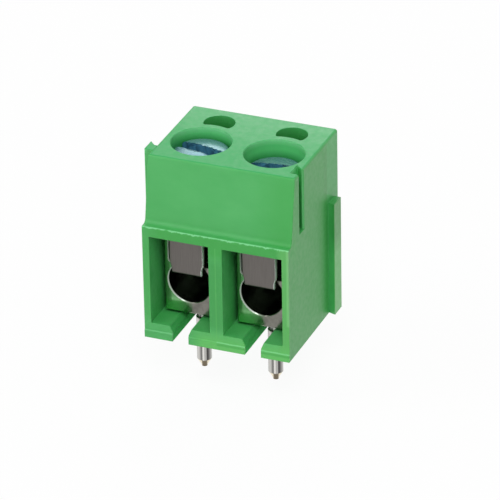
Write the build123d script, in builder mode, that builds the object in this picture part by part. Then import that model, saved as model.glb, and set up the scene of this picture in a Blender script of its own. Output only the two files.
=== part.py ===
from build123d import *
import os

# Two-pole screw terminal for a circuit board, sizes in millimetres.
# X runs along the row of poles, Y from the wire side to the back, Z up from the board.
# The origin is midway between the two solder pins, on the face that sits on the board.

# Row of poles
pitch = 5.08
pole_count = 2
pole_x = pitch / 2
body_width = pole_count * pitch

# Outer shape of the housing
body_height = 12.7
frame_front_y = -3.9
body_back_y = 5.1
ledge_z = 8.15
panel_foot_y = -3.33
panel_top_y = -2.6
ledge_fold_radius = 0.35
foot_band_height = 0.52
foot_band_reach = 0.05
back_corner_radius = 0.15
top_edge_radius = 0.18
ledge_edge_radius = 0.08

# Wire chamber of one pole
window_side_gap = 0.32
window_floor_z = 1.1
window_top_z = 7.43
guide_front_y = 2.35
chamber_back_y = 4.25

# Screw well and test hole above each chamber
screw_y = 0.3
well_clearance = 0.14
well_rim_chamfer = 0.03
test_hole_radius = 1.05
test_hole_y = 3.23
test_hole_shift = 0.07
test_hole_wall = 0.48
test_hole_corner_radius = 0.15

# Slot in the floor that lets the solder pin slide in from the front
pin_slot_clearance = 0.06
pin_slot_bevel_width = 0.2
pin_slot_bevel_depth = 0.45
pin_slot_bevel_end_y = -1.1

# Interlocking rib and slot, upper front of the sides
side_clearance = 0.05
upper_slot_depth = 0.58
upper_slot_front_y = -1.93
upper_slot_mouth_back_y = -1.02
upper_slot_throat_depth = 0.12
upper_slot_throat_back_y = -1.14
upper_slot_inner_back_y = -0.72
upper_slot_foot_rise = 0.2
root_overlap = 0.1

# Interlocking rib and slot, lower back of the sides
lower_rib_depth = 0.48
lower_rib_root_front_y = 3.25
lower_rib_outer_front_y = 3.1
lower_rib_back_y = 4.3
rib_end_chamfer = 0.12

# Metal clamping block
block_width = 3.5
block_front_y = -2.2
block_back_gap = 0.1
block_top_gap = 0.08
block_side_gap = 0.05
block_lift = 0.2
block_bottom_radius = 0.12
block_front_edge_radius = 0.1
bore_radius = 1.5
bore_z = 3.62
bore_end_y = 3.25
mouth_chamfer = 0.06
leaf_recess_half_width = 1.44
leaf_recess_floor_z = 4.92
leaf_recess_corner_radius = 0.17
leaf_recess_depth = 0.7
tail_pocket_half_width = 1.15
tail_pocket_top_z = 4.95
tail_pocket_end_y = 1.6
thread_radius = 1.45
thread_clearance = 0.05
thread_lead_in = 0.15

# Bent wire guard leaf
leaf_thickness = 0.38
leaf_front_y = -2.7
leaf_half_width = 1.15
leaf_foot_half_width = 1.02
leaf_taper_top_z = 5.25
leaf_taper_foot_z = 4.8
leaf_top_z = 7.3
leaf_foot_z = 4.4
leaf_tail_end_y = 1.3
leaf_outer_bend_radius = 0.16
leaf_inner_bend_radius = 0.06
leaf_corner_radius = 0.2

# Clamp screw, M3 with a slotted head
head_radius = 1.87
head_height = 1.5
head_rim_radius = 0.28
head_dome = 0.1
drive_slot_width = 0.9
drive_slot_depth = 0.8
shank_length = 5.43
shank_tip_chamfer = 0.35
neck_radius = 1.25
neck_height = 0.4
screw_tip_gap = 0.02
left_screw_raise = 0.455
left_slot_angle = -12.0
right_slot_angle = 6.8

# Solder pin
pin_radius = 0.5
pin_neck_radius = 0.34
pin_seat_gap = 0.02
pin_seat_depth = 0.5
pin_length = 3.72
pin_cone_height = 0.5
pin_nub_height = 0.08
pin_nub_radius = 0.2
pin_top_chamfer = 0.1

half_body = body_width / 2
window_half_width = block_width / 2 + window_side_gap
well_radius = head_radius + well_clearance
test_hole_front_radius = well_radius + test_hole_wall
pin_slot_half_width = pin_radius + pin_slot_clearance
block_foot_z = window_floor_z + block_lift
block_top_z = window_top_z - block_top_gap
block_back_y = chamber_back_y - block_back_gap
guide_half_width = block_width / 2 + block_side_gap
beyond = 1.0

# Housing, one moulding with both poles
with BuildPart() as housing:
    with BuildSketch(Plane.YZ):
        with BuildLine():
            Polyline(
                (frame_front_y - foot_band_reach, 0),
                (body_back_y, 0),
                (body_back_y, body_height),
                (panel_top_y, body_height),
                (panel_foot_y, ledge_z),
                (frame_front_y, ledge_z),
                (frame_front_y, foot_band_height + foot_band_reach),
                (frame_front_y - foot_band_reach, foot_band_height),
                close=True,
            )
        make_face()
    extrude(amount=half_body, both=True)

    # Rounded back corners, top edges, ledge edge and the fold behind the ledge
    back_edges = housing.edges().filter_by(Axis.Z).group_by(Axis.Y)[-1]
    fillet(back_edges, back_corner_radius)
    top_edges = housing.faces().sort_by(Axis.Z)[-1].edges()
    fillet(top_edges, top_edge_radius)
    ledge_edge = housing.edges().filter_by(Axis.X).sort_by_distance((0, frame_front_y, ledge_z))[0]
    fillet(ledge_edge, ledge_edge_radius)
    ledge_fold = housing.edges().filter_by(Axis.X).sort_by_distance((0, panel_foot_y, ledge_z))[0]
    fillet(ledge_fold, ledge_fold_radius)

    # Upper rib on the left side, square in front and undercut behind
    rib_reach = upper_slot_depth - side_clearance
    upper_slot_foot_z = ledge_z + upper_slot_foot_rise
    with BuildSketch(Plane.XY.offset(upper_slot_foot_z + side_clearance)):
        with BuildLine():
            Polyline(
                (-half_body + root_overlap, upper_slot_front_y + side_clearance),
                (-half_body - rib_reach, upper_slot_front_y + side_clearance),
                (-half_body - rib_reach, upper_slot_inner_back_y - side_clearance),
                (-half_body - upper_slot_throat_depth, upper_slot_throat_back_y - side_clearance),
                (-half_body + root_overlap, upper_slot_throat_back_y - side_clearance),
                close=True,
            )
        make_face()
    extrude(amount=body_height - upper_slot_foot_z - side_clearance)

    # Lower rib on the right side
    with BuildSketch(Plane.XY):
        with BuildLine():
            Polyline(
                (half_body - root_overlap, lower_rib_root_front_y),
                (half_body, lower_rib_root_front_y),
                (half_body + lower_rib_depth, lower_rib_outer_front_y),
                (half_body + lower_rib_depth, lower_rib_back_y),
                (half_body - root_overlap, lower_rib_back_y),
                close=True,
            )
        make_face()
    extrude(amount=ledge_z)

    # Lead-in on the foot of the upper rib
    rib_foot = housing.edges().filter_by(Axis.Y).group_by(Axis.X)[0].sort_by(Axis.Z)[0]
    chamfer(rib_foot, rib_end_chamfer)

    # Upper slot on the right side takes the upper rib of the next terminal
    with BuildSketch(Plane.XY.offset(upper_slot_foot_z)):
        with BuildLine():
            Polyline(
                (half_body - upper_slot_depth, upper_slot_front_y),
                (half_body + beyond, upper_slot_front_y),
                (half_body + beyond, upper_slot_mouth_back_y),
                (half_body, upper_slot_mouth_back_y),
                (half_body - upper_slot_throat_depth, upper_slot_throat_back_y),
                (half_body - upper_slot_depth, upper_slot_inner_back_y),
                close=True,
            )
        make_face()
    extrude(amount=body_height, mode=Mode.SUBTRACT)

    # Lower slot on the left side, open at the bottom
    lower_slot_x = -half_body + lower_rib_depth + side_clearance
    with BuildSketch(Plane.XY.offset(-beyond)):
        with BuildLine():
            Polyline(
                (lower_slot_x, lower_rib_outer_front_y - side_clearance),
                (-half_body, lower_rib_root_front_y - side_clearance),
                (-half_body - beyond, lower_rib_root_front_y - side_clearance),
                (-half_body - beyond, lower_rib_back_y + side_clearance),
                (lower_slot_x, lower_rib_back_y + side_clearance),
                close=True,
            )
        make_face()
    extrude(amount=ledge_z + side_clearance + beyond, mode=Mode.SUBTRACT)

    # Window and front part of each wire chamber
    chamber_height = window_top_z - window_floor_z
    chamber_mid_z = (window_top_z + window_floor_z) / 2
    with BuildSketch(Plane.XZ.offset(-frame_front_y + beyond)):
        with Locations((-pole_x, chamber_mid_z), (pole_x, chamber_mid_z)):
            Rectangle(2 * window_half_width, chamber_height)
    extrude(amount=frame_front_y - beyond - guide_front_y, mode=Mode.SUBTRACT)

    # Narrower back part of each chamber, with a raised floor, carries the block
    guide_mid_z = (window_top_z + block_foot_z) / 2
    with BuildSketch(Plane.XZ.offset(-guide_front_y)):
        with Locations((-pole_x, guide_mid_z), (pole_x, guide_mid_z)):
            Rectangle(2 * guide_half_width, window_top_z - block_foot_z)
    extrude(amount=guide_front_y - chamber_back_y, mode=Mode.SUBTRACT)

    # Screw wells
    with BuildSketch(Plane.XY.offset(window_top_z)):
        with Locations((-pole_x, screw_y), (pole_x, screw_y)):
            Circle(well_radius)
    extrude(amount=body_height, mode=Mode.SUBTRACT)
    with BuildSketch(Plane.XY.offset(body_height)):
        with Locations((-pole_x, screw_y), (pole_x, screw_y)):
            Circle(well_radius + well_rim_chamfer)
    extrude(amount=-well_rim_chamfer, taper=45, mode=Mode.SUBTRACT)

    # Test holes, hollowed in front to follow the screw wells
    with BuildSketch(Plane.XY.offset(window_top_z)) as test_hole_outline:
        with Locations((test_hole_shift - pole_x, test_hole_y), (test_hole_shift + pole_x, test_hole_y)):
            Circle(test_hole_radius)
        with Locations((-pole_x, screw_y), (pole_x, screw_y)):
            Circle(test_hole_front_radius, mode=Mode.SUBTRACT)
        fillet(test_hole_outline.vertices(), test_hole_corner_radius)
    extrude(amount=body_height, mode=Mode.SUBTRACT)

    # Pin slots through the floor, open to the front
    with BuildSketch():
        for side in (-1, 1):
            with Locations((side * pole_x, 0)):
                Circle(pin_slot_half_width)
            with Locations((side * pole_x, (frame_front_y - beyond) / 2)):
                Rectangle(2 * pin_slot_half_width, beyond - frame_front_y)
    extrude(amount=window_floor_z, mode=Mode.SUBTRACT)

    # Bevelled top edges of the pin slots
    with BuildSketch(Plane.XZ.offset(-pin_slot_bevel_end_y)):
        for side in (-1, 1):
            with BuildLine():
                Polyline(
                    (side * pole_x - pin_slot_half_width, window_floor_z - pin_slot_bevel_depth),
                    (side * pole_x + pin_slot_half_width, window_floor_z - pin_slot_bevel_depth),
                    (side * pole_x + pin_slot_half_width + pin_slot_bevel_width, window_floor_z),
                    (side * pole_x - pin_slot_half_width - pin_slot_bevel_width, window_floor_z),
                    close=True,
                )
            make_face()
    extrude(amount=pin_slot_bevel_end_y - frame_front_y + beyond, mode=Mode.SUBTRACT)

# Clamping block, shaped about the middle of its own pole
with BuildPart() as block_blank:
    with BuildSketch(Plane.XZ.offset(-block_front_y)):
        with Locations((0, (block_foot_z + block_top_z) / 2)):
            Rectangle(block_width, block_top_z - block_foot_z)
    extrude(amount=block_front_y - block_back_y)
    block_foot_edges = block_blank.faces().sort_by(Axis.Z)[0].edges()
    fillet(block_foot_edges, block_bottom_radius)
    block_front_edges = block_blank.edges().filter_by(Axis.Z).group_by(Axis.Y)[0]
    fillet(block_front_edges, block_front_edge_radius)

    # Wire bore, blind at the back
    with BuildSketch(Plane.XZ.offset(-block_front_y)):
        with Locations((0, bore_z)):
            Circle(bore_radius)
    extrude(amount=block_front_y - bore_end_y, mode=Mode.SUBTRACT)

    # Recess behind the upright leg of the leaf, open at the top
    with BuildSketch(Plane.XZ.offset(-block_front_y)) as leaf_recess:
        with Locations((0, (leaf_recess_floor_z + block_top_z + beyond) / 2)):
            Rectangle(2 * leaf_recess_half_width, block_top_z + beyond - leaf_recess_floor_z)
        fillet(leaf_recess.vertices().group_by(Axis.Y)[0], leaf_recess_corner_radius)
    extrude(amount=-leaf_recess_depth, mode=Mode.SUBTRACT)

    # Bevel around the keyhole shaped mouth
    with BuildSketch(Plane.XZ.offset(-block_front_y)) as mouth_bevel:
        with Locations((0, bore_z)):
            Circle(bore_radius + mouth_chamfer)
        with Locations((0, (leaf_recess_floor_z - mouth_chamfer + block_top_z + beyond) / 2)):
            Rectangle(
                2 * (leaf_recess_half_width + mouth_chamfer),
                block_top_z + beyond - leaf_recess_floor_z + mouth_chamfer,
            )
        bevel_corners = mouth_bevel.vertices().filter_by(
            lambda corner: abs(abs(corner.X) - leaf_recess_half_width - mouth_chamfer) < mouth_chamfer
        )
        fillet(bevel_corners.group_by(Axis.Y)[0], leaf_recess_corner_radius + mouth_chamfer)
    extrude(amount=-mouth_chamfer, taper=45, mode=Mode.SUBTRACT)

    # Pocket that gives the tail of the leaf room above the bore
    pocket_y = block_front_y + leaf_recess_depth
    with BuildSketch(Plane.XZ.offset(-pocket_y)):
        with Locations((0, (bore_z + tail_pocket_top_z) / 2)):
            Rectangle(2 * tail_pocket_half_width, tail_pocket_top_z - bore_z)
    extrude(amount=pocket_y - tail_pocket_end_y, mode=Mode.SUBTRACT)

    # Threaded hole for the clamp screw
    with BuildSketch(Plane.XY.offset(bore_z)):
        with Locations((0, screw_y)):
            Circle(thread_radius)
    extrude(amount=block_top_z - bore_z, mode=Mode.SUBTRACT)
    with BuildSketch(Plane.XY.offset(block_top_z)):
        with Locations((0, screw_y)):
            Circle(thread_radius + thread_lead_in)
    extrude(amount=-thread_lead_in, taper=45, mode=Mode.SUBTRACT)

    # Seat for the solder pin
    with BuildSketch(Plane.XY.offset(block_foot_z)):
        Circle(pin_neck_radius + pin_seat_gap)
    extrude(amount=pin_seat_depth, mode=Mode.SUBTRACT)

with BuildPart() as terminal_block_left:
    with Locations((-pole_x, 0, 0)):
        add(block_blank.part)

with BuildPart() as terminal_block_right:
    with Locations((pole_x, 0, 0)):
        add(block_blank.part)

# Wire guard leaf, an upright leg in front and a tail under the screw
with BuildPart() as leaf_blank:
    with BuildSketch(Plane.YZ) as leaf_profile:
        with BuildLine():
            Polyline(
                (leaf_front_y, leaf_foot_z),
                (leaf_tail_end_y, leaf_foot_z),
                (leaf_tail_end_y, leaf_foot_z + leaf_thickness),
                (leaf_front_y + leaf_thickness, leaf_foot_z + leaf_thickness),
                (leaf_front_y + leaf_thickness, leaf_top_z),
                (leaf_front_y, leaf_top_z),
                close=True,
            )
        make_face()
        outer_bend = leaf_profile.vertices().group_by(Axis.Y)[0].sort_by(Axis.X)[0]
        fillet(outer_bend, leaf_outer_bend_radius)
        inner_bend = leaf_profile.vertices().sort_by_distance(
            (leaf_front_y + leaf_thickness, leaf_foot_z + leaf_thickness)
        )[0]
        fillet(inner_bend, leaf_inner_bend_radius)
    extrude(amount=leaf_half_width, both=True)

    # Narrower foot and tail
    with BuildSketch(Plane.XZ.offset(-leaf_front_y + beyond)):
        for side in (-1, 1):
            with BuildLine():
                Polyline(
                    (side * leaf_half_width, leaf_taper_top_z),
                    (side * leaf_foot_half_width, leaf_taper_foot_z),
                    (side * leaf_foot_half_width, leaf_foot_z - beyond),
                    (side * (leaf_half_width + beyond), leaf_foot_z - beyond),
                    (side * (leaf_half_width + beyond), leaf_taper_top_z),
                    close=True,
                )
            make_face()
    extrude(amount=leaf_front_y - leaf_tail_end_y - 2 * beyond, mode=Mode.SUBTRACT)

    # Rounded sheet corners at both free ends
    leg_corners = leaf_blank.edges().filter_by(Axis.Y).group_by(Axis.Z)[-1]
    tail_corners = leaf_blank.edges().filter_by(Axis.Z).group_by(Axis.Y)[-1]
    fillet(leg_corners + tail_corners, leaf_corner_radius)

with BuildPart() as wire_guard_left:
    with Locations((-pole_x, 0, 0)):
        add(leaf_blank.part)

with BuildPart() as wire_guard_right:
    with Locations((pole_x, 0, 0)):
        add(leaf_blank.part)

# Clamp screw, drawn with its tip at zero height
shank_radius = thread_radius - thread_clearance
head_foot_z = shank_length
head_top_z = shank_length + head_height
with BuildPart() as screw_blank:
    with BuildSketch(Plane.XZ) as screw_profile:
        with BuildLine():
            Line((0, 0), (shank_radius - shank_tip_chamfer, 0))
            Line((shank_radius - shank_tip_chamfer, 0), (shank_radius, shank_tip_chamfer))
            Line((shank_radius, shank_tip_chamfer), (shank_radius, head_foot_z - neck_height))
            Line(
                (shank_radius, head_foot_z - neck_height),
                (neck_radius, head_foot_z - neck_height + shank_radius - neck_radius),
            )
            Line(
                (neck_radius, head_foot_z - neck_height + shank_radius - neck_radius),
                (neck_radius, head_foot_z),
            )
            Line((neck_radius, head_foot_z), (head_radius, head_foot_z))
            Line((head_radius, head_foot_z), (head_radius, head_top_z - head_dome - head_rim_radius))
            TangentArc(
                (head_radius, head_top_z - head_dome - head_rim_radius),
                (head_radius - head_rim_radius, head_top_z - head_dome),
                tangent=(0, 1),
            )
            ThreePointArc(
                (head_radius - head_rim_radius, head_top_z - head_dome),
                ((head_radius - head_rim_radius) / 2, head_top_z - head_dome / 4),
                (0, head_top_z),
            )
            Line((0, head_top_z), (0, 0))
        make_face()
    revolve(axis=Axis.Z)

    # Driver slot across the head
    with BuildSketch(Plane.XY.offset(head_top_z - drive_slot_depth)):
        Rectangle(2 * head_radius + beyond, drive_slot_width)
    extrude(amount=drive_slot_depth + beyond, mode=Mode.SUBTRACT)

right_tip_z = leaf_foot_z + leaf_thickness + screw_tip_gap
left_tip_z = right_tip_z + left_screw_raise

with BuildPart() as clamp_screw_left:
    with Locations(Location((-pole_x, screw_y, left_tip_z), (0, 0, left_slot_angle))):
        add(screw_blank.part)

with BuildPart() as clamp_screw_right:
    with Locations(Location((pole_x, screw_y, right_tip_z), (0, 0, right_slot_angle))):
        add(screw_blank.part)

# Solder pin, pointed below and seated in the block above
pin_top_z = block_foot_z + pin_seat_depth
cone_top_z = -pin_length + pin_nub_height + pin_cone_height
nub_top_z = -pin_length + pin_nub_height
with BuildPart() as pin_blank:
    with BuildSketch(Plane.XZ):
        with BuildLine():
            Polyline(
                (0, -pin_length),
                (pin_nub_radius, -pin_length),
                (pin_nub_radius, nub_top_z),
                (pin_radius, cone_top_z),
                (pin_radius, 0),
                (pin_neck_radius, 0),
                (pin_neck_radius, pin_top_z - pin_top_chamfer),
                (pin_neck_radius - pin_top_chamfer, pin_top_z),
                (0, pin_top_z),
                close=True,
            )
        make_face()
    revolve(axis=Axis.Z)

with BuildPart() as solder_pin_left:
    with Locations((-pole_x, 0, 0)):
        add(pin_blank.part)

with BuildPart() as solder_pin_right:
    with Locations((pole_x, 0, 0)):
        add(pin_blank.part)

housing.part.label = "housing"
terminal_block_left.part.label = "terminal_block_left"
terminal_block_right.part.label = "terminal_block_right"
wire_guard_left.part.label = "wire_guard_left"
wire_guard_right.part.label = "wire_guard_right"
clamp_screw_left.part.label = "clamp_screw_left"
clamp_screw_right.part.label = "clamp_screw_right"
solder_pin_left.part.label = "solder_pin_left"
solder_pin_right.part.label = "solder_pin_right"

os.makedirs("parts", exist_ok=True)
export_step(housing.part, "parts/housing.step")
export_step(terminal_block_left.part, "parts/terminal_block_left.step")
export_step(terminal_block_right.part, "parts/terminal_block_right.step")
export_step(wire_guard_left.part, "parts/wire_guard_left.step")
export_step(wire_guard_right.part, "parts/wire_guard_right.step")
export_step(clamp_screw_left.part, "parts/clamp_screw_left.step")
export_step(clamp_screw_right.part, "parts/clamp_screw_right.step")
export_step(solder_pin_left.part, "parts/solder_pin_left.step")
export_step(solder_pin_right.part, "parts/solder_pin_right.step")
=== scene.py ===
"""Finishes a two-pole screw terminal for a circuit board: moulded green housing, plated metal
clamps, threaded clamp screws and solder pins, on a white studio floor."""

import math
import random

import bmesh
import bpy
from mathutils import Matrix, Vector

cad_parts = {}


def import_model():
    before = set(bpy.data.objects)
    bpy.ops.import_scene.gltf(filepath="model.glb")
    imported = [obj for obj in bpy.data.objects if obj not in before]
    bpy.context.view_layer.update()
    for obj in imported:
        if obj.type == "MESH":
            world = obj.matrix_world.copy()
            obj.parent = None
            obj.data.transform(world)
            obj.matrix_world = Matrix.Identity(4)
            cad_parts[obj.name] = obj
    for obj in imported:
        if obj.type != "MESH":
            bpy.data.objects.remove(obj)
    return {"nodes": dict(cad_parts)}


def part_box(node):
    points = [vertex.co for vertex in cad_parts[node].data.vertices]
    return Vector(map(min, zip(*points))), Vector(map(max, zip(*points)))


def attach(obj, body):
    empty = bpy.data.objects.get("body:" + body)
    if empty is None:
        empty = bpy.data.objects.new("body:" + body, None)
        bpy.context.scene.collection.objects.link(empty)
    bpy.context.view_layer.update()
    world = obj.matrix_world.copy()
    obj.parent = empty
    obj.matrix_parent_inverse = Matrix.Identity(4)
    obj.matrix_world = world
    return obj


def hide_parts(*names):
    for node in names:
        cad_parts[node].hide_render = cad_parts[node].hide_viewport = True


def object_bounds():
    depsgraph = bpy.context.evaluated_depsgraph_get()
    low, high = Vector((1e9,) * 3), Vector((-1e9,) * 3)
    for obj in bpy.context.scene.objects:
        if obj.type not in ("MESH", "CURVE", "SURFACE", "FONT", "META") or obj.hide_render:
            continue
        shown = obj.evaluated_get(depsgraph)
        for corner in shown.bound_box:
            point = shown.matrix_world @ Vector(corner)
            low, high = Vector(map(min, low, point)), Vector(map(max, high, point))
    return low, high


bl_info = {
    "name": "PCB Screw Terminal",
    "version": (1, 0, 0),
    "blender": (4, 5, 0),
    "location": "View3D > Sidebar > Terminal",
    "description": "Finishes a screw terminal for a circuit board and its studio",
    "category": "Object",
}

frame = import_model()
cad_low, cad_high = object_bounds()

MM = 0.001
SIDES = ("left", "right")

# Every box below is two corners in millimetres. In a box from the poles, x counts from the middle
# of each pole, which stands this far from the middle of the terminal
POLE_X = 2.54
# Half width in millimetres of a crisp border between two colours
EDGE = 0.02

# Gloss of the plastic, how much of it the front of the top face loses, and the places along Y
# where that loss begins and is full
PLAIN_GLOSS = 0.5
TOP_FACE = ((-6.0, -3.6, 12.675), (6.0, 5.2, 12.8))
TOP_LOSS = 0.3
TOP_LOSS_ALONG = (4.6, 0.4)
# Box from the poles and loss of gloss, in the pin slots and in the test holes
DULL_PLACES = (
    (((-0.8, -3.85, -1.0), (0.8, 0.6, 1.04)), 0.5),
    (((-2.0, 2.45, 5.0), (2.0, 4.9, 12.2)), 0.45),
)
ROUGHNESS_SPREAD = 0.06
MIDDLE, POLES = False, True
# Painted light and shade on the housing's faces: colour setting, box, softness, strength, wander of
# the height, and where x counts from
LIGHT_AND_SHADE_PATCHES = (
    # Painted shade: darker green on the right side face
    ("side_shade_colour", ((5.06, -6.0, -1.0), (6.0, 3.05, 13.0)), EDGE, 1.0, 0.0, MIDDLE),
    # Painted light: paler green on the outer face of the rib at the back right
    ("corner_light_colour", ((5.52, 3.0, -1.0), (6.0, 4.4, 9.0)), EDGE, 1.0, 0.0, MIDDLE),
    # Painted light: lighter green on the walls of the driver wells
    ("well_light_colour", ((-2.06, -2.0, 7.3), (2.06, 2.4, 12.7)), EDGE, 1.0, 0.0, POLES),
    # Painted highlight: pale rim round the top of each driver well
    ("lip_highlight_colour", ((-2.06, -2.0, 12.5), (2.06, 2.4, 13.2)), 0.2, 0.7, 0.0, POLES),
    # Painted shade: darker green at the foot of each driver well, round the screw head, to the
    # height of each head
    ("well_foot_shade_colour", ((-4.7, -2.0, 7.3), (-0.4, 2.4, 12.1)), 0.25, 1.0, 0.0, MIDDLE),
    ("well_foot_shade_colour", ((0.4, -2.0, 7.3), (4.7, 2.4, 11.7)), 0.3, 1.0, 0.0, MIDDLE),
    # Painted shade: near-black green deep in the test holes
    ("test_hole_shade_colour", ((-2.0, 2.45, 5.0), (2.0, 4.9, 11.9)), 0.7, 1.0, 0.0, POLES),
    # Painted sheen: cooler, brighter green on the top face
    ("top_light_colour", TOP_FACE, EDGE, 1.0, 0.0, MIDDLE),
    # Painted shade: deeper green between the ledge and the windows, at the left end of the front
    # and on the panel at the right
    ("strip_shade_colour", ((-4.4, -4.1, 6.5), (4.7, -3.83, 9.2)), 0.5, 1.0, 0.0, MIDDLE),
    ("strip_shade_colour", ((-6.5, -4.1, 1.4), (-4.2, -3.83, 9.2)), 0.3, 0.5, 0.0, MIDDLE),
    ("strip_shade_colour", ((3.2, -3.6, 7.0), (7.0, -2.5, 13.0)), 1.0, 0.6, 0.0, MIDDLE),
    # Painted shade: deeper green on the pillar between the windows
    ("pillar_shade_colour", ((-0.66, -4.1, 1.4), (0.66, -3.83, 6.4)), 0.3, 1.0, 0.0, MIDDLE),
    # Painted light: lighter, yellower green on the bar right of the windows
    ("bar_light_colour", ((4.4, -4.1, -1.0), (6.0, -3.83, 9.2)), 0.2, 1.0, 0.0, MIDDLE),
    # Painted light: paler green along the front corner at the right
    ("corner_light_colour", ((4.93, -4.1, 2.6), (6.0, -3.83, 9.2)), 0.06, 1.0, 0.0, MIDDLE),
    # Painted light: lighter green on the feet under the windows
    ("foot_light_colour", ((-1.4, -4.1, -2.0), (9.0, -3.83, 0.9)), 0.5, 1.0, 0.0, MIDDLE),
    # Painted highlight: a faint pale line up the middle of the lower front
    ("foot_light_colour", ((-0.035, -4.1, 0.5), (0.035, -3.83, 7.4)), EDGE, 0.4, 0.0, MIDDLE),
    # Painted highlights: pale ragged lines along the step of the feet
    ("lip_highlight_colour", ((-6.0, -4.1, 0.5), (-2.5, -3.83, 0.57)), 0.03, 0.3, 0.1, MIDDLE),
    ("lip_highlight_colour", ((0.0, -4.1, 0.5), (6.0, -3.83, 0.57)), 0.03, 0.4, 0.15, MIDDLE),
    # Painted shadow: a darker line under the step of the feet
    ("strip_shade_colour", ((0.0, -4.1, 0.3), (6.0, -3.83, 0.46)), 0.05, 0.6, 0.0, MIDDLE),
    # Painted highlight: pale ragged line along the ledge's front edge
    ("lip_highlight_colour", ((-6.0, -4.1, 8.08), (6.0, -3.83, 8.2)), EDGE, 0.65, 0.7, MIDDLE),
)

# Clamping blocks, from the poles: the bore with its painted shade, the painted green reflection of
# the plastic at the side with its deeper part of painted shade, each with its softness, and the
# mouth's rim with its painted highlight, with the ends of its range in the normal's Y and X
BLOCK_INSIDE = ((-1.7, -2.12, 1.5), (1.7, 3.9, 7.2))
BLOCK_GREEN_REFLECTION = ((-3.0, -2.6, 0.0), (-0.4, -2.1, 8.0))
GREEN_REFLECTION_SOFTNESS = 0.6
BLOCK_SHADE = ((-2.4, -2.6, 2.15), (-0.45, -2.19, 9.0))
SHADE_SOFTNESS = 0.25
# Painted highlight round the rims of the mouths
BLOCK_RIM = ((-1.7, -2.6, 1.5), (1.7, -2.1, 7.2))
RIM_TURNED = (-0.97, -0.9)
RIM_LEANING = (0.0, 0.3)
BLOCK_ROUND = 0.00004

# Wire guards: how far the normal leans to the right on a sheared edge, and the places along Y
# where the edge's pale painted highlight begins and is full
LEAF_LEANING = 0.3
SHEARED_HIGHLIGHT_ALONG = (-2.40, -2.48)
LEAF_ROUND = 0.00009

# Solder pins: the direction across their painted bands of reflection and shade, which is the
# camera's sideways direction, and the place and brightness of each band
SHEEN_ACROSS = (0.925, 0.38)
SHEEN_LINES = (
    (0.0, 0.5), (0.12, 0.68), (0.2, 0.5), (0.29, 0.19), (0.34, 0.24), (0.4, 0.9), (0.46, 0.85),
    (0.52, 0.45), (0.6, 0.58), (0.67, 0.08), (0.73, 0.08), (0.8, 0.21), (1.0, 0.64),
)
# Places across the point where its pale flanks fade into bare brass and back, laid across the
# camera's sideways direction as the painted bands are
TIP_EDGES = (0.29, 0.36, 0.64, 0.71)
# Millimetres over the pin's end where tin gives way to the bare point
TIP_FADE = (0.62, 0.54)
# Heights between which the pin goes from bright metal to the duller part above the board
METAL_FADE = (-0.06, 0.0)

# Clamp screws: shares of red, green and blue that their deeper plate keeps, the rounding of their
# edges, and sizes and steps that no setting changes
DEEP_ZINC = (0.78, 0.84, 0.96)
SCREW_ROUND = 0.00005
WELD = 1e-8
TIP_CHAMFER = 0.17 * MM
NECK_HEIGHT = 0.4 * MM
THREAD_SINK = 0.02 * MM
# Half the ridge's width at its foot as a share of the pitch, and at its crest as a share of that
THREAD_FOOT = 0.42
THREAD_CREST = 0.12
# How far a burr moves a corner of the slot's edge, across the slot and up, as shares of its size
BURR_ACROSS = (-1.0, 1.0)
BURR_UP = (-0.2, 0.8)
RIM_STEPS = 6
DOME_STEPS = 14
HEAD_STEPS = 72
THREAD_STEPS = 40
SLOT_MATERIAL = 1
SHARP_ANGLE = math.radians(35.0)
SLOT_ANGLES = {"left": math.radians(-12.0), "right": math.radians(6.8)}

# Studio: the floor's half width in metres, its colour, and its share of its own light
FLOOR_HALF = 1.5
FLOOR_WHITE = (0.95, 0.95, 0.95, 1.0)
FLOOR_GLOW = 0.93
# Name, place and width in metres, and power setting of each lamp
LAMPS = (
    ("key_lamp", (0.085, -0.20, 0.27), 0.16, "key_power"),
    ("fill_lamp", (-0.24, -0.16, 0.20), 0.20, "fill_power"),
    ("back_lamp", (-0.03, 0.10, 0.075), 0.05, "back_power"),
)
# Point that the camera looks at: to its right, along its up direction, and above the board
LOOK_AT = (0.7852 * MM, 0.3082 * MM, 5.0 * MM)


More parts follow.
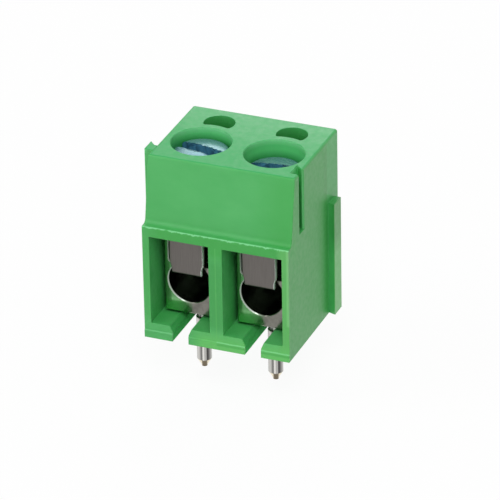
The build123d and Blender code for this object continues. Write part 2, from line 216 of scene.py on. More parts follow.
class HousingSettings(bpy.types.PropertyGroup):
    """Look of the moulded housing."""

    colour: bpy.props.FloatVectorProperty(
        name="Colour", description="Colour of the moulded plastic",
        default=(0.055, 0.385, 0.092), size=3, min=0.0, max=1.0, subtype="COLOR",
    )
    cloud_colour: bpy.props.FloatVectorProperty(
        name="Flow colour", description="Paler colour of the flow marks in the plastic",
        default=(0.072, 0.42, 0.112), size=3, min=0.0, max=1.0, subtype="COLOR",
    )
    # Painted shade: darker green on the right side face of the housing
    side_shade_colour: bpy.props.FloatVectorProperty(
        name="Side colour", description="Deeper skin of the right side",
        default=(0.048, 0.335, 0.068), size=3, min=0.0, max=1.0, subtype="COLOR",
    )
    # Painted light: paler green along the corners at the right, toward the key lamp
    corner_light_colour: bpy.props.FloatVectorProperty(
        name="Corner colour", description="Bleached skin along the front corner at the right",
        default=(0.155, 0.49, 0.155), size=3, min=0.0, max=1.0, subtype="COLOR",
    )
    # Painted shade: darker green round the screw heads at the foot of the driver wells
    well_foot_shade_colour: bpy.props.FloatVectorProperty(
        name="Well foot colour", description="Deep skin of the driver wells round the screw heads",
        default=(0.03, 0.32, 0.08), size=3, min=0.0, max=1.0, subtype="COLOR",
    )
    # Painted light: lighter green inside the driver wells
    well_light_colour: bpy.props.FloatVectorProperty(
        name="Well colour", description="Lighter skin inside the driver wells",
        default=(0.097, 0.57, 0.165), size=3, min=0.0, max=1.0, subtype="COLOR",
    )
    # Painted shade: near-black green inside the test holes
    test_hole_shade_colour: bpy.props.FloatVectorProperty(
        name="Test hole colour", description="Deep skin inside the test holes",
        default=(0.002, 0.135, 0.004), size=3, min=0.0, max=1.0, subtype="COLOR",
    )
    # Painted sheen: cooler, brighter green on the top face
    top_light_colour: bpy.props.FloatVectorProperty(
        name="Top colour", description="Cooler, bleached skin of the top face",
        default=(0.048, 0.42, 0.122), size=3, min=0.0, max=1.0, subtype="COLOR",
    )
    # Painted shade: deeper green between the ledge and the windows and on other shaded parts of the
    # front
    strip_shade_colour: bpy.props.FloatVectorProperty(
        name="Strip colour", description="Deeper skin between the ledge and the windows",
        default=(0.036, 0.352, 0.055), size=3, min=0.0, max=1.0, subtype="COLOR",
    )
    # Painted shade: deeper green on the pillar between the windows
    pillar_shade_colour: bpy.props.FloatVectorProperty(
        name="Pillar colour", description="Deeper skin of the pillar between the windows",
        default=(0.040, 0.332, 0.066), size=3, min=0.0, max=1.0, subtype="COLOR",
    )
    # Painted light: lighter, yellower green on the bar right of the windows
    bar_light_colour: bpy.props.FloatVectorProperty(
        name="Bar colour", description="Yellower skin of the bar right of the windows",
        default=(0.088, 0.416, 0.090), size=3, min=0.0, max=1.0, subtype="COLOR",
    )
    # Painted light on the feet under the windows, also used as a painted highlight up the middle of
    # the lower front
    foot_light_colour: bpy.props.FloatVectorProperty(
        name="Foot colour", description="Lighter skin of the feet under the windows",
        default=(0.104, 0.485, 0.104), size=3, min=0.0, max=1.0, subtype="COLOR",
    )
    # Painted highlight along the ledge, the step of the feet and the rims of the driver wells
    lip_highlight_colour: bpy.props.FloatVectorProperty(
        name="Lip colour", description="Pale highlight along the ledge and the feet",
        default=(0.26, 0.74, 0.36), size=3, min=0.0, max=1.0, subtype="COLOR",
    )
    roughness: bpy.props.FloatProperty(
        name="Roughness", description="Roughness of the moulded skin",
        default=0.42, min=0.0, max=1.0, subtype="FACTOR",
    )
    edge_round: bpy.props.FloatProperty(
        name="Edge rounding", description="Radius that the moulded edges catch light on",
        default=0.00006, min=0.0, unit="LENGTH",
    )


class MetalSettings(bpy.types.PropertyGroup):
    """Look of the plated metal parts."""

    block_colour: bpy.props.FloatVectorProperty(
        name="Block colour", description="Bright plate on the clamping blocks",
        default=(0.21, 0.205, 0.18), size=3, min=0.0, max=1.0, subtype="COLOR",
    )
    # Painted reflection: the green of the plastic on the side of the blocks
    green_reflection_colour: bpy.props.FloatVectorProperty(
        name="Cast colour", description="Green cast on the side of the blocks next to the plastic",
        default=(0.29, 0.62, 0.29), size=3, min=0.0, max=1.0, subtype="COLOR",
    )
    # Painted shade: a deeper green reflection beside the wire mouths
    shade_colour: bpy.props.FloatVectorProperty(
        name="Shade colour", description="Deep green cast beside the wire mouths",
        default=(0.06, 0.21, 0.065), size=3, min=0.0, max=1.0, subtype="COLOR",
    )
    # Painted shade: the colour set for how dark the deep bores look
    bore_shade_colour: bpy.props.FloatVectorProperty(
        name="Bore colour", description="Dull metal inside the clamping blocks",
        default=(0.24, 0.27, 0.23), size=3, min=0.0, max=1.0, subtype="COLOR",
    )
    # Painted highlight: pale line round the mouths of the clamping blocks
    rim_highlight_colour: bpy.props.FloatVectorProperty(
        name="Mouth rim colour", description="Bright highlight round the mouths of the clamping blocks",
        default=(0.47, 0.53, 0.47), size=3, min=0.0, max=1.0, subtype="COLOR",
    )
    leaf_colour: bpy.props.FloatVectorProperty(
        name="Leaf colour", description="Brushed sheet of the wire guards",
        default=(0.172, 0.158, 0.148), size=3, min=0.0, max=1.0, subtype="COLOR",
    )
    # Painted highlight: white, unmetallic right-facing front edges of the wire guards
    sheared_highlight_colour: bpy.props.FloatVectorProperty(
        name="Sheared edge colour", description="Bright sheared edges of the wire guards",
        default=(0.95, 0.95, 0.97), size=3, min=0.0, max=1.0, subtype="COLOR",
    )
    # Blue zinc with a painted green reflection of the driver wells
    screw_colour: bpy.props.FloatVectorProperty(
        name="Screw colour", description="Blue zinc plate on the clamp screws",
        default=(0.155, 0.33, 0.35), size=3, min=0.0, max=1.0, subtype="COLOR",
    )
    # Painted shade: dark blue in the driver slots
    slot_shade_colour: bpy.props.FloatVectorProperty(
        name="Slot colour", description="Sheared metal in the driver slots",
        default=(0.055, 0.20, 0.32), size=3, min=0.0, max=1.0, subtype="COLOR",
    )
    pin_colour: bpy.props.FloatVectorProperty(
        name="Pin colour", description="Tin plate on the solder pins",
        default=(0.92, 0.90, 0.86), size=3, min=0.0, max=1.0, subtype="COLOR",
    )
    tip_colour: bpy.props.FloatVectorProperty(
        name="Pin tip colour", description="Bare brass at the points of the pins",
        default=(0.16, 0.125, 0.075), size=3, min=0.0, max=1.0, subtype="COLOR",
    )
    # Pale colour at both sides of the pins' points, across the camera's sideways direction
    pale_tip_flank_colour: bpy.props.FloatVectorProperty(
        name="Outer tip colour", description="Pale outer flanks of the pins' points",
        default=(0.92, 0.83, 0.64), size=3, min=0.0, max=1.0, subtype="COLOR",
    )


class ScrewSettings(bpy.types.PropertyGroup):
    """Sizes of the clamp screws that the solid model leaves plain."""

    shank_radius: bpy.props.FloatProperty(
        name="Shank radius", description="Radius over the crests of the thread",
        default=0.0014, min=0.0, unit="LENGTH",
    )
    neck_radius: bpy.props.FloatProperty(
        name="Neck radius", description="Radius of the plain neck under the head",
        default=0.00125, min=0.0, unit="LENGTH",
    )
    head_height: bpy.props.FloatProperty(
        name="Head height", description="Height of the head with its dome",
        default=0.0015, min=0.0, unit="LENGTH",
    )
    rim_radius: bpy.props.FloatProperty(
        name="Rim radius", description="Rounding of the head's rim",
        default=0.00028, min=0.0, unit="LENGTH",
    )
    dome: bpy.props.FloatProperty(
        name="Dome", description="Rise of the head from its rim to its middle",
        default=0.0001, min=0.0, unit="LENGTH",
    )
    slot_width: bpy.props.FloatProperty(
        name="Slot width", description="Width of the driver slot",
        default=0.0009, min=0.0, unit="LENGTH",
    )
    slot_depth: bpy.props.FloatProperty(
        name="Slot depth", description="Depth of the driver slot below the dome",
        default=0.0007, min=0.0, unit="LENGTH",
    )
    thread_pitch: bpy.props.FloatProperty(
        name="Thread pitch", description="Travel of the screw in one turn",
        default=0.0005, min=0.0002, unit="LENGTH",
    )
    thread_depth: bpy.props.FloatProperty(
        name="Thread depth", description="Height of the thread's ridge",
        default=0.00018, min=0.0, unit="LENGTH",
    )
    burr: bpy.props.FloatProperty(
        name="Slot burr", description="How far the sheared slot edges wander",
        default=0.00005, min=0.0, unit="LENGTH",
    )


class StageSettings(bpy.types.PropertyGroup):
    """Camera and studio."""

    azimuth: bpy.props.FloatProperty(
        name="Azimuth", description="Camera's turn to the right of straight in front",
        default=math.radians(22.33), subtype="ANGLE",
    )
    elevation: bpy.props.FloatProperty(
        name="Elevation", description="Camera's height angle above the floor",
        default=math.radians(28.06), subtype="ANGLE",
    )
    roll: bpy.props.FloatProperty(
        name="Roll", description="Camera's tilt about its own line of sight",
        default=math.radians(-1.037), subtype="ANGLE",
    )
    distance: bpy.props.FloatProperty(
        name="Distance", description="Camera's distance from the point it looks at",
        default=0.289265, unit="LENGTH",
    )
    lens: bpy.props.FloatProperty(
        name="Focal length", description="Camera lens in millimetres on a 36 mm sensor",
        default=319.334, min=1.0, unit="CAMERA",
    )
    key_power: bpy.props.FloatProperty(
        name="Key power", description="Power of the soft lamp at the front right in watts",
        default=0.565, min=0.0, unit="POWER",
    )
    fill_power: bpy.props.FloatProperty(
        name="Fill power", description="Power of the soft lamp at the left in watts",
        default=0.25, min=0.0, unit="POWER",
    )
    back_power: bpy.props.FloatProperty(
        name="Back power", description="Power of the small lamp behind in watts",
        default=0.02, min=0.0, unit="POWER",
    )
    world_strength: bpy.props.FloatProperty(
        name="World strength", description="Strength of the white surroundings",
        default=0.55, min=0.0,
    )


class TerminalSettings(bpy.types.PropertyGroup):
    """All the settings of the terminal."""

    housing: bpy.props.PointerProperty(type=HousingSettings)
    metal: bpy.props.PointerProperty(type=MetalSettings)
    screw: bpy.props.PointerProperty(type=ScrewSettings)
    stage: bpy.props.PointerProperty(type=StageSettings)


def settings():
    """The property groups of the current scene."""
    return bpy.context.scene.terminal


# Materials

def new_material(name):
    """A node material that holds only its shader and its output."""
    material = bpy.data.materials.new(name)
    material.use_nodes = True
    tree = material.node_tree
    tree.nodes.clear()
    output = tree.nodes.new("ShaderNodeOutputMaterial")
    shader = tree.nodes.new("ShaderNodeBsdfPrincipled")
    tree.links.new(shader.outputs["BSDF"], output.inputs["Surface"])
    return material, tree, shader


def object_coordinates(tree, scale=(1.0, 1.0, 1.0)):
    """Object coordinates in millimetres, multiplied by scale."""
    coordinates = tree.nodes.new("ShaderNodeTexCoord")
    mapping = tree.nodes.new("ShaderNodeMapping")
    mapping.inputs["Scale"].default_value = tuple(s / MM for s in scale)
    tree.links.new(coordinates.outputs["Object"], mapping.inputs["Vector"])
    return mapping.outputs["Vector"]


def noise(tree, vector, detail, scale=1.0, roughness=0.5):
    """A noise pattern along vector."""
    node = tree.nodes.new("ShaderNodeTexNoise")
    node.inputs["Scale"].default_value = scale
    node.inputs["Detail"].default_value = detail
    node.inputs["Roughness"].default_value = roughness
    tree.links.new(vector, node.inputs["Vector"])
    return node.outputs["Fac"]


def ramp(tree, value, stops):
    """A colour ramp over value, with stops given as place and colour."""
    node = tree.nodes.new("ShaderNodeValToRGB")
    elements = node.color_ramp.elements
    elements[0].position, elements[0].color = stops[0][0], (*stops[0][1], 1.0)
    elements[1].position, elements[1].color = stops[-1][0], (*stops[-1][1], 1.0)
    for place, colour in stops[1:-1]:
        elements.new(place).color = (*colour, 1.0)
    tree.links.new(value, node.inputs["Fac"])
    return node.outputs["Color"]


def grey(value):
    """A grey as a colour."""
    return (value, value, value)


def dimmed(colour, share):
    """A colour at that share of its brightness."""
    return tuple(share * part for part in colour)


def uneven_roughness(tree, shader, pattern, low, high):
    """Gives the shader a roughness from low to high along a pattern."""
    gloss = ramp(tree, pattern, [(0.3, grey(low)), (0.7, grey(high))])
    tree.links.new(gloss, shader.inputs["Roughness"])


def bump(tree, shader, height, distance, strength, normal=None):
    """Gives the shader a bump of that distance in metres."""
    node = tree.nodes.new("ShaderNodeBump")
    node.inputs["Distance"].default_value = distance
    node.inputs["Strength"].default_value = strength
    tree.links.new(height, node.inputs["Height"])
    if normal is not None:
        tree.links.new(normal, node.inputs["Normal"])
    tree.links.new(node.outputs["Normal"], shader.inputs["Normal"])


def edge_normal(tree, radius):
    """A normal that rounds sharp edges by radius."""
    node = tree.nodes.new("ShaderNodeBevel")
    node.samples = 6
    node.inputs["Radius"].default_value = radius
    return node.outputs["Normal"]


def mixed(tree, share, first, second):
    """The first socket's colour, giving way to a second colour or socket by share."""
    node = tree.nodes.new("ShaderNodeMix")
    node.data_type = "RGBA"
    tree.links.new(share, node.inputs["Factor"])
    tree.links.new(first, node.inputs["A"])
    if isinstance(second, tuple):
        node.inputs["B"].default_value = (*second, 1.0)
    else:
        tree.links.new(second, node.inputs["B"])
    return node.outputs["Result"]


def arithmetic(tree, operation, first, second):
    """The result of a math node on a socket and a second socket or number."""
    node = tree.nodes.new("ShaderNodeMath")
    node.operation = operation
    tree.links.new(first, node.inputs[0])
    if isinstance(second, float):
        node.inputs[1].default_value = second
    else:
        tree.links.new(second, node.inputs[1])
    return node.outputs[0]


def between(tree, value, start, end):
    """Nought at start, one at end, and straight in between."""
    node = tree.nodes.new("ShaderNodeMapRange")
    node.inputs["From Min"].default_value = start
    node.inputs["From Max"].default_value = end
    tree.links.new(value, node.inputs["Value"])
    return node.outputs["Result"]


def axes(tree, vector):
    """The three parts of a vector."""
    node = tree.nodes.new("ShaderNodeSeparateXYZ")
    tree.links.new(vector, node.inputs["Vector"])
    return node.outputs["X"], node.outputs["Y"], node.outputs["Z"]


def from_pole(tree, across):
    """X in millimetres from the middle of the nearer pole."""
    wrapped = arithmetic(tree, "FLOORED_MODULO", across, 2 * POLE_X)
    return arithmetic(tree, "SUBTRACT", wrapped, POLE_X)


def within(tree, box, soft=EDGE, wander=0.0, poles=False):
    """One inside a box in millimetres and nought outside, soft in x and z, with a wandering height.

    With poles, x is measured from the middle of either pole."""
    across, along, height = axes(tree, object_coordinates(tree))
    if poles:
        across = from_pole(tree, across)
    if wander:
        wave = noise(tree, object_coordinates(tree, (1.6, 0.0, 0.0)), detail=5.0, roughness=0.75)
        shift = arithmetic(tree, "MULTIPLY", arithmetic(tree, "SUBTRACT", wave, 0.5), wander)
        height = arithmetic(tree, "ADD", height, shift)
    share = None
    for value, bottom, top, fade in zip((across, along, height), *box, (soft, EDGE, soft)):
        above = between(tree, value, bottom - fade, bottom + fade)
        below = between(tree, value, top + fade, top - fade)
        both = arithmetic(tree, "MULTIPLY", above, below)
        share = both if share is None else arithmetic(tree, "MULTIPLY", share, both)
    return share


def moulded_plastic():
    """Green plastic with faint flow marks, a fine eroded skin, and painted light and shade on its
    faces.
    """
    look = settings().housing
    material, tree, shader = new_material("moulded_green_plastic")
    cloud = noise(tree, object_coordinates(tree, (0.28, 0.28, 0.5)), detail=4.0, roughness=0.55)
    colour = ramp(tree, cloud, [(0.35, tuple(look.colour)), (0.68, tuple(look.cloud_colour))])
    # Lays the painted light and shade over the plastic's own colour
    for name, box, soft, strength, wander, poles in LIGHT_AND_SHADE_PATCHES:
        share = arithmetic(tree, "MULTIPLY", within(tree, box, soft, wander, poles), strength)
        colour = mixed(tree, share, colour, tuple(getattr(look, name)))
    tree.links.new(colour, shader.inputs["Base Color"])
    front_share = between(tree, axes(tree, object_coordinates(tree))[1], *TOP_LOSS_ALONG)
    dulled = arithmetic(tree, "MULTIPLY", within(tree, TOP_FACE), front_share)
    dulled = arithmetic(tree, "MULTIPLY", dulled, -TOP_LOSS)
    for box, loss in DULL_PLACES:
        shaded = arithmetic(tree, "MULTIPLY", within(tree, box, poles=True), -loss)
        dulled = arithmetic(tree, "ADD", dulled, shaded)
    gloss = arithmetic(tree, "ADD", dulled, PLAIN_GLOSS)
    tree.links.new(gloss, shader.inputs["Specular IOR Level"])
    skin = noise(tree, object_coordinates(tree), detail=2.0, scale=3.2)
    smooth, rough = look.roughness - ROUGHNESS_SPREAD, look.roughness + ROUGHNESS_SPREAD
    uneven_roughness(tree, shader, skin, low=smooth, high=rough)
    grain = noise(tree, object_coordinates(tree), detail=2.0, scale=14.0)
    rounded = edge_normal(tree, look.edge_round)
    bump(tree, shader, grain, distance=0.000012, strength=0.35, normal=rounded)
    shader.inputs["IOR"].default_value = 1.53
    shader.inputs["Subsurface Weight"].default_value = 0.12
    shader.inputs["Subsurface Radius"].default_value = (0.3, 1.0, 0.4)
    shader.inputs["Subsurface Scale"].default_value = 0.0004
    return material


def plated_block():
    """Bright plate over machined brass, with faint milling lines and stains, and painted light and
    shade: a green reflection and shade at the side, shade in the bore and a highlight round the
    mouth.
    """
    look = settings().metal
    material, tree, shader = new_material("bright_plate")
    stains = noise(tree, object_coordinates(tree), detail=5.0, scale=1.6, roughness=0.6)
    dark = dimmed(look.block_colour, 0.72)
    plate = ramp(tree, stains, [(0.38, dark), (0.55, tuple(look.block_colour))])
    # Painted green reflection of the plastic on the side of the block
    reflection = within(tree, BLOCK_GREEN_REFLECTION, GREEN_REFLECTION_SOFTNESS, poles=True)
    plate = mixed(tree, reflection, plate, tuple(look.green_reflection_colour))
    # Painted shade: a deeper green reflection beside the wire mouths
    shade = within(tree, BLOCK_SHADE, SHADE_SOFTNESS, poles=True)
    plate = mixed(tree, shade, plate, tuple(look.shade_colour))
    # Painted shade inside the bores
    inside = within(tree, BLOCK_INSIDE, poles=True)
    plate = mixed(tree, inside, plate, tuple(look.bore_shade_colour))
    rounded = edge_normal(tree, BLOCK_ROUND)
    turned = between(tree, axes(tree, rounded)[1], *RIM_TURNED)
    leaning = between(tree, axes(tree, rounded)[0], *RIM_LEANING)
    # Painted highlight on the rim of the mouth, made unmetallic so the lamps light it
    rim = arithmetic(tree, "MULTIPLY", within(tree, BLOCK_RIM, poles=True), turned)
    rim = arithmetic(tree, "MULTIPLY", rim, leaning)
    tree.links.new(mixed(tree, rim, plate, tuple(look.rim_highlight_colour)), shader.inputs["Base Color"])
    tree.links.new(between(tree, rim, 1.0, 0.0), shader.inputs["Metallic"])
    milling = noise(tree, object_coordinates(tree, (9.0, 9.0, 0.6)), detail=2.0)
    uneven_roughness(tree, shader, stains, low=0.10, high=0.24)
    bump(tree, shader, milling, distance=0.00001, strength=0.25, normal=rounded)
    return material


def brushed_leaf():
    """Sheet metal brushed along its length, with a painted highlight on its right-facing front
    edges.
    """
    look = settings().metal
    material, tree, shader = new_material("brushed_sheet")
    lines = noise(tree, object_coordinates(tree, (16.0, 16.0, 0.8)), detail=3.0, roughness=0.6)
    pale = tuple(look.leaf_colour)
    dark = dimmed(pale, 0.8)
    sheet = ramp(tree, lines, [(0.3, dark), (0.7, pale)])
    rounded = edge_normal(tree, LEAF_ROUND)
    leaning = arithmetic(tree, "GREATER_THAN", axes(tree, rounded)[0], LEAF_LEANING)
    front = between(tree, axes(tree, object_coordinates(tree))[1], *SHEARED_HIGHLIGHT_ALONG)
    # Painted highlight on the right-facing front edges, made unmetallic so the lamps light it
    sheared = arithmetic(tree, "MULTIPLY", leaning, front)
    sheet = mixed(tree, sheared, sheet, tuple(look.sheared_highlight_colour))
    tree.links.new(sheet, shader.inputs["Base Color"])
    uneven_roughness(tree, shader, lines, low=0.30, high=0.44)
    tree.links.new(between(tree, sheared, 1.0, 0.0), shader.inputs["Metallic"])
    bump(tree, shader, lines, distance=0.000008, strength=0.5, normal=rounded)
    return material


def zinc_plate():
    """Blue zinc plate, cloudy and finely scratched, with a painted green reflection of the wells in
    its colour.
    """
    look = settings().metal
    material, tree, shader = new_material("blue_zinc_plate")
    clouds = noise(tree, object_coordinates(tree), detail=4.0, scale=1.3, roughness=0.6)
    # Zinc colour with the painted green reflection of the wells
    pale = tuple(look.screw_colour)
    deep = tuple(share * part for share, part in zip(DEEP_ZINC, pale))
    tree.links.new(ramp(tree, clouds, [(0.35, deep), (0.62, pale)]), shader.inputs["Base Color"])
    scratches = noise(tree, object_coordinates(tree, (2.0, 12.0, 2.0)), detail=4.0)
    uneven_roughness(tree, shader, scratches, low=0.16, high=0.32)
    shader.inputs["Metallic"].default_value = 0.35
    rounded = edge_normal(tree, SCREW_ROUND)
    bump(tree, shader, scratches, distance=0.000008, strength=0.4, normal=rounded)
    return material


def painted_slot_shade():
    """Dull blue colour in the driver slots, painted as their shade."""
    look = settings().metal
    material, tree, shader = new_material("driver_slot")
    tears = noise(tree, object_coordinates(tree, (3.0, 3.0, 1.0)), detail=4.0, roughness=0.6)
    # Painted shade in the driver slots
    pale = tuple(look.slot_shade_colour)
    deep = dimmed(pale, 0.5)
    tree.links.new(ramp(tree, tears, [(0.4, deep), (0.6, pale)]), shader.inputs["Base Color"])
    shader.inputs["Roughness"].default_value = 0.5
    shader.inputs["Specular IOR Level"].default_value = 0.12
    bump(tree, shader, tears, distance=0.00002, strength=0.6)
    return material


def tinned_pin():
    """Tinned pin with painted bands of reflection and shade along it and a bare brass point."""
    look = settings().metal
    material, tree, shader = new_material("tinned_pin")
    low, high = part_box("solder_pin_left")
    radius = (high.x - low.x) / 2 / MM
    across, along, height = axes(tree, object_coordinates(tree))
    # Painted reflection and shade: bands laid across the camera's sideways direction
    aside = arithmetic(tree, "MULTIPLY", from_pole(tree, across), SHEEN_ACROSS[0])
    aside = arithmetic(tree, "ADD", aside, arithmetic(tree, "MULTIPLY", along, SHEEN_ACROSS[1]))
    around = between(tree, aside, -radius, radius)
    lines = [(place, dimmed(look.pin_colour, shade)) for place, shade in SHEEN_LINES]
    brass = tuple(look.tip_colour)
    cream = tuple(look.pale_tip_flank_colour)
    tip = ramp(tree, around, list(zip(TIP_EDGES, (cream, brass, brass, cream))))
    bare = between(tree, height, *(low.z / MM + over for over in TIP_FADE))
    body = mixed(tree, bare, ramp(tree, around, lines), tip)
    tree.links.new(body, shader.inputs["Base Color"])
    streaks = noise(tree, object_coordinates(tree, (3.2, 3.2, 0.12)), detail=2.0, roughness=0.6)
    uneven_roughness(tree, shader, streaks, low=0.14, high=0.3)
    duller = between(tree, height, *METAL_FADE)
    metal = ramp(tree, duller, [(0.0, grey(1.0)), (1.0, grey(0.2))])
    tree.links.new(metal, shader.inputs["Metallic"])
    bump(tree, shader, streaks, distance=0.00001, strength=0.4)
    return material


def give_material(piece, *materials):
    """Gives the piece only these materials, and keeps a new mesh's own choice among them."""
    if piece.data.materials:
        piece.data.materials.clear()
    for material in materials:
        piece.data.materials.append(material)


# Pieces

def new_object(name, shape):
    """An object of the scene from a bmesh, which is freed."""
    mesh = bpy.data.meshes.new(name)
    shape.to_mesh(mesh)
    shape.free()
    piece = bpy.data.objects.new(name, mesh)
    bpy.context.scene.collection.objects.link(piece)
    return piece


def riding_object(name, shape, body):
    """An object from a bmesh that rides on a body."""
    piece = new_object(name, shape)
    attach(piece, body)
    return piece


def spun_profile(shape, points, steps):
    """Spins a profile of (radius, height) points into a closed solid about the Z axis."""
    corners = [shape.verts.new((radius, 0.0, height)) for radius, height in points]
    edges = [shape.edges.new(pair) for pair in zip(corners, corners[1:])]
    bmesh.ops.spin(
        shape, geom=corners + edges, cent=(0.0, 0.0, 0.0), axis=(0.0, 0.0, 1.0), angle=math.tau,
        steps=steps, use_merge=True,
    )
    bmesh.ops.remove_doubles(shape, verts=shape.verts, dist=WELD)


def screw_outline(length, head_radius):
    """Radius and height of every corner of a screw from its tip to the top of its head."""
    look = settings().screw
    core = look.shank_radius - look.thread_depth
    head_foot = length - look.head_height
    shoulder = length - look.dome - look.rim_radius
    flat = head_radius - look.rim_radius
    points = [(0.0, 0.0), (core - TIP_CHAMFER, 0.0), (core, TIP_CHAMFER)]
    points += [(core, head_foot - NECK_HEIGHT), (look.neck_radius, head_foot - NECK_HEIGHT)]
    points += [(look.neck_radius, head_foot), (head_radius, head_foot)]
    for step in range(RIM_STEPS + 1):
        turn = math.pi / 2 * step / RIM_STEPS
        radius = flat + look.rim_radius * math.cos(turn)
        points.append((radius, shoulder + look.rim_radius * math.sin(turn)))
    for step in range(1, DOME_STEPS + 1):
        reach = 1.0 - step / DOME_STEPS
        points.append((flat * reach, length - look.dome * reach * reach))
    return points


def cut_slot(shape, head_foot, length, burr_source):
    """Cuts a driver slot with ragged edges across the head, along X."""
    look = settings().screw
    half = look.slot_width / 2
    floor_height = length - look.slot_depth
    across, up = (0, 1, 0), (0, 0, 1)
    cuts = (((0, half, 0), across), ((0, -half, 0), across), ((0, 0, floor_height), up))
    for place, normal in cuts:
        head = [face for face in shape.faces if face.calc_center_median().z > head_foot + WELD]
        if normal == up:
            head = [face for face in head if abs(face.calc_center_median().y) < half]
        around = dict.fromkeys(item for face in head for item in [*face.verts, *face.edges])
        bmesh.ops.bisect_plane(
            shape, geom=head + list(around), dist=WELD, plane_co=place, plane_no=normal,
        )
    inside = [
        face for face in shape.faces
        if abs(face.calc_center_median().y) < half and face.calc_center_median().z > floor_height
    ]
    bmesh.ops.delete(shape, geom=inside, context="FACES")
    rim = [edge for edge in shape.edges if edge.is_boundary]
    floor_line = [edge for edge in rim if max(v.co.z for v in edge.verts) < floor_height + WELD]
    for side in (-half, half):
        wall = [edge for edge in rim if all(abs(v.co.y - side) < WELD for v in edge.verts)]
        corners = dict.fromkeys(v for edge in wall for v in edge.verts)
        corners = sorted(corners, key=lambda v: (v.co.z, v.co.x))
        foot = shape.edges.new(corners[:2])
        cut = bmesh.ops.contextual_create(shape, geom=wall + [foot])["faces"]
        floor_line.append(foot)
        for corner in corners[2:]:
            corner.co.y += burr_source.uniform(*BURR_ACROSS) * look.burr
            corner.co.z += burr_source.uniform(*BURR_UP) * look.burr
        for face in cut:
            face.material_index = SLOT_MATERIAL
    for face in bmesh.ops.contextual_create(shape, geom=floor_line)["faces"]:
        face.material_index = SLOT_MATERIAL


def add_thread(shape, start, end):
    """Winds a ridge up the shank between two heights."""
    look = settings().screw
    crest = look.shank_radius
    root = crest - look.thread_depth - THREAD_SINK
    foot = THREAD_FOOT * look.thread_pitch
    flat = THREAD_CREST * foot
    section = [(root, -foot), (crest, -flat), (crest, flat), (root, foot)]
    corners = [shape.verts.new((radius, 0.0, start + height)) for radius, height in section]
    face = shape.faces.new(corners)
    turns = (end - start) / look.thread_pitch
    steps = int(turns * THREAD_STEPS)
    bmesh.ops.spin(
        shape, geom=[face, *face.edges, *corners], cent=(0.0, 0.0, 0.0), axis=(0.0, 0.0, 1.0),
        dvec=(0.0, 0.0, (end - start) / steps), angle=math.tau * turns, steps=steps,
    )


def clamp_screw(side):
    """A threaded clamp screw with a ragged driver slot, in the place of its plain solid."""
    look = settings().screw
    low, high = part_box("clamp_screw_" + side)
    length = high.z - low.z
    head_radius = (high.x - low.x) / 2
    head_foot = length - look.head_height
    shape = bmesh.new()
    spun_profile(shape, screw_outline(length, head_radius), HEAD_STEPS)
    cut_slot(shape, head_foot, length, random.Random(side))
    margin = look.thread_pitch / 2
    add_thread(shape, TIP_CHAMFER + margin, head_foot - NECK_HEIGHT - margin)
    bmesh.ops.triangulate(shape, faces=[face for face in shape.faces if len(face.verts) > 4])
    bmesh.ops.recalc_face_normals(shape, faces=shape.faces)
    turn = Matrix.Rotation(SLOT_ANGLES[side], 3, "Z")
    bmesh.ops.rotate(shape, cent=(0.0, 0.0, 0.0), matrix=turn, verts=shape.verts)
    tip = ((low.x + high.x) / 2, (low.y + high.y) / 2, low.z)
    bmesh.ops.translate(shape, vec=tip, verts=shape.verts)
    for edge in shape.edges:
        edge.smooth = len(edge.link_faces) == 2 and edge.calc_face_angle() < SHARP_ANGLE
    for face in shape.faces:
        face.smooth = True
    piece = riding_object("threaded_screw_" + side, shape, "screw_" + side)
    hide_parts("clamp_screw_" + side)
    return piece


class TERMINAL_OT_housing(bpy.types.Operator):
    """Gives the housing its moulded plastic"""

    bl_idname = "terminal.housing"
    bl_label = "Finish housing"

    def execute(self, context):
        """Gives the solid its plastic."""
        give_material(frame["nodes"]["housing"], moulded_plastic())
        return {"FINISHED"}


class TERMINAL_OT_blocks(bpy.types.Operator):
    """Gives the clamping blocks their plate"""

    bl_idname = "terminal.blocks"
    bl_label = "Finish clamping blocks"

    def execute(self, context):
        """Gives both blocks one plate."""
        plate = plated_block()
        for side in SIDES:
            give_material(frame["nodes"]["terminal_block_" + side], plate)
        return {"FINISHED"}


class TERMINAL_OT_leaves(bpy.types.Operator):
    """Gives the wire guards their brushed sheet"""

    bl_idname = "terminal.leaves"
    bl_label = "Finish wire guards"

    def execute(self, context):
        """Gives both leaves one sheet metal."""
        sheet = brushed_leaf()
        for side in SIDES:
            give_material(frame["nodes"]["wire_guard_" + side], sheet)
        return {"FINISHED"}


class TERMINAL_OT_screws(bpy.types.Operator):
    """Makes the threaded clamp screws and gives them their zinc plate"""

    bl_idname = "terminal.screws"
    bl_label = "Finish clamp screws"

    def execute(self, context):
        """Gives both screws one plate, with painted shade in the slots."""
        zinc = zinc_plate()
        # Painted shade for the driver slots
        bare = painted_slot_shade()
        for side in SIDES:
            give_material(clamp_screw(side), zinc, bare)
        return {"FINISHED"}


class TERMINAL_OT_pins(bpy.types.Operator):
    """Gives the solder pins their tin plate"""

    bl_idname = "terminal.pins"
    bl_label = "Finish solder pins"

    def execute(self, context):
        """Gives both pins one plate."""
        tin = tinned_pin()
        for side in SIDES:
            give_material(frame["nodes"]["solder_pin_" + side], tin)
        return {"FINISHED"}


# Stage

def seen_ray(tree):
    """One for camera, glossy and transmission rays, and nought for light on its way to a piece."""
    path = tree.nodes.new("ShaderNodeLightPath")
    seen = path.outputs["Is Camera Ray"]
    for kind in ("Is Glossy Ray", "Is Transmission Ray"):
        seen = arithmetic(tree, "MAXIMUM", seen, path.outputs[kind])
    return seen


def shared_surface(tree, output, share, lit, seen):
    """Shows the seen shader by share and the lit one otherwise."""
    mix = tree.nodes.new("ShaderNodeMixShader")
    tree.links.new(share, mix.inputs["Fac"])
    tree.links.new(lit, mix.inputs[1])
    tree.links.new(seen, mix.inputs[2])
    tree.links.new(mix.outputs["Shader"], output.inputs["Surface"])


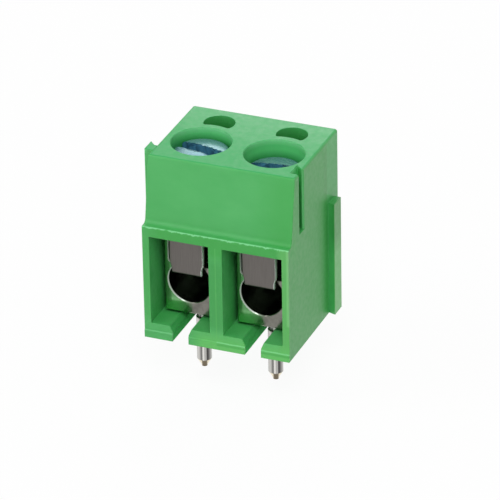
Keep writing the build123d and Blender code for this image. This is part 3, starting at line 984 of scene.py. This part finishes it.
def floor_material():
    """White paper that still takes a faint shadow."""
    material = bpy.data.materials.new("white_floor")
    material.use_nodes = True
    tree = material.node_tree
    tree.nodes.clear()
    output = tree.nodes.new("ShaderNodeOutputMaterial")
    paper = tree.nodes.new("ShaderNodeBsdfDiffuse")
    paper.inputs["Color"].default_value = FLOOR_WHITE
    glow = tree.nodes.new("ShaderNodeEmission")
    share = arithmetic(tree, "MULTIPLY", seen_ray(tree), FLOOR_GLOW)
    shared_surface(tree, output, share, paper.outputs["BSDF"], glow.outputs["Emission"])
    return material


def floor():
    """The floor under the points of the pins."""
    shape = bmesh.new()
    level = Matrix.Translation((0.0, 0.0, cad_low.z))
    bmesh.ops.create_grid(shape, x_segments=1, y_segments=1, size=FLOOR_HALF, matrix=level)
    piece = new_object("floor", shape)
    give_material(piece, floor_material())


def world():
    """White surroundings, seen at full white, that light the piece at the strength set."""
    look = settings().stage
    surroundings = bpy.data.worlds.new("white_surroundings")
    surroundings.use_nodes = True
    tree = surroundings.node_tree
    tree.nodes.clear()
    output = tree.nodes.new("ShaderNodeOutputWorld")
    light = tree.nodes.new("ShaderNodeBackground")
    light.inputs["Strength"].default_value = look.world_strength
    seen = tree.nodes.new("ShaderNodeBackground").outputs["Background"]
    shared_surface(tree, output, seen_ray(tree), light.outputs["Background"], seen)
    bpy.context.scene.world = surroundings


def lamp(name, place, target, size, power):
    """A square soft lamp at place that points at target."""
    light = bpy.data.lights.new(name, "AREA")
    light.size = size
    light.energy = power
    holder = bpy.data.objects.new(name, light)
    holder.location = place
    holder.rotation_euler = (target - place).to_track_quat("-Z", "Y").to_euler()
    holder.visible_camera = False
    bpy.context.scene.collection.objects.link(holder)


def camera():
    """The camera at the angle, distance and roll of the settings."""
    look = settings().stage
    aside, upward, height = LOOK_AT
    side = Vector((math.cos(look.azimuth), math.sin(look.azimuth), 0.0))
    away = Vector((
        math.sin(look.azimuth) * math.cos(look.elevation),
        -math.cos(look.azimuth) * math.cos(look.elevation),
        math.sin(look.elevation),
    ))
    up = side.cross(-away)
    level = Matrix((side, up, away)).transposed()
    turned = level @ Matrix.Rotation(look.roll, 3, "Z")
    target = aside * side + upward * up + Vector((0.0, 0.0, height))
    lens = bpy.data.cameras.new("camera")
    lens.lens = look.lens
    lens.clip_start = 0.01
    holder = bpy.data.objects.new("camera", lens)
    holder.matrix_world = Matrix.Translation(target + look.distance * away) @ turned.to_4x4()
    bpy.context.scene.collection.objects.link(holder)
    bpy.context.scene.camera = holder


class TERMINAL_OT_stage(bpy.types.Operator):
    """Lays the floor and sets the lamps, the surroundings and the camera"""

    bl_idname = "terminal.stage"
    bl_label = "Set stage"

    def execute(self, context):
        """Makes the floor, world, lamps and camera."""
        look = settings().stage
        centre = (cad_low + cad_high) / 2
        floor()
        world()
        for name, place, size, power in LAMPS:
            lamp(name, Vector(place), centre, size, getattr(look, power))
        camera()
        context.scene.view_settings.view_transform = "Standard"
        return {"FINISHED"}


class TERMINAL_PT_panel(bpy.types.Panel):
    """Sidebar panel that lists the terminal's settings and steps"""

    bl_idname = "TERMINAL_PT_panel"
    bl_label = "Screw terminal"
    bl_space_type = "VIEW_3D"
    bl_region_type = "UI"
    bl_category = "Terminal"

    def draw(self, context):
        """Lists every step and the settings."""
        for step in STEPS:
            self.layout.operator(step.bl_idname)
        for name in ("housing", "metal", "screw", "stage"):
            group = getattr(settings(), name)
            box = self.layout.box()
            for key in group.__annotations__:
                box.prop(group, key)


STEPS = (
    TERMINAL_OT_housing,
    TERMINAL_OT_blocks,
    TERMINAL_OT_leaves,
    TERMINAL_OT_screws,
    TERMINAL_OT_pins,
    TERMINAL_OT_stage,
)
GROUPS = (HousingSettings, MetalSettings, ScrewSettings, StageSettings, TerminalSettings)


def register():
    """Registers the classes and the scene's settings."""
    for item in GROUPS + STEPS + (TERMINAL_PT_panel,):
        bpy.utils.register_class(item)
    bpy.types.Scene.terminal = bpy.props.PointerProperty(type=TerminalSettings)


def unregister():
    """Takes the classes and settings away again."""
    del bpy.types.Scene.terminal
    for item in reversed(GROUPS + STEPS + (TERMINAL_PT_panel,)):
        bpy.utils.unregister_class(item)


def main():
    """Builds the finished terminal on its stage."""
    register()
    bpy.ops.terminal.housing()
    bpy.ops.terminal.blocks()
    bpy.ops.terminal.leaves()
    bpy.ops.terminal.screws()
    bpy.ops.terminal.pins()
    bpy.ops.terminal.stage()


if __name__ == "__main__":
    main()
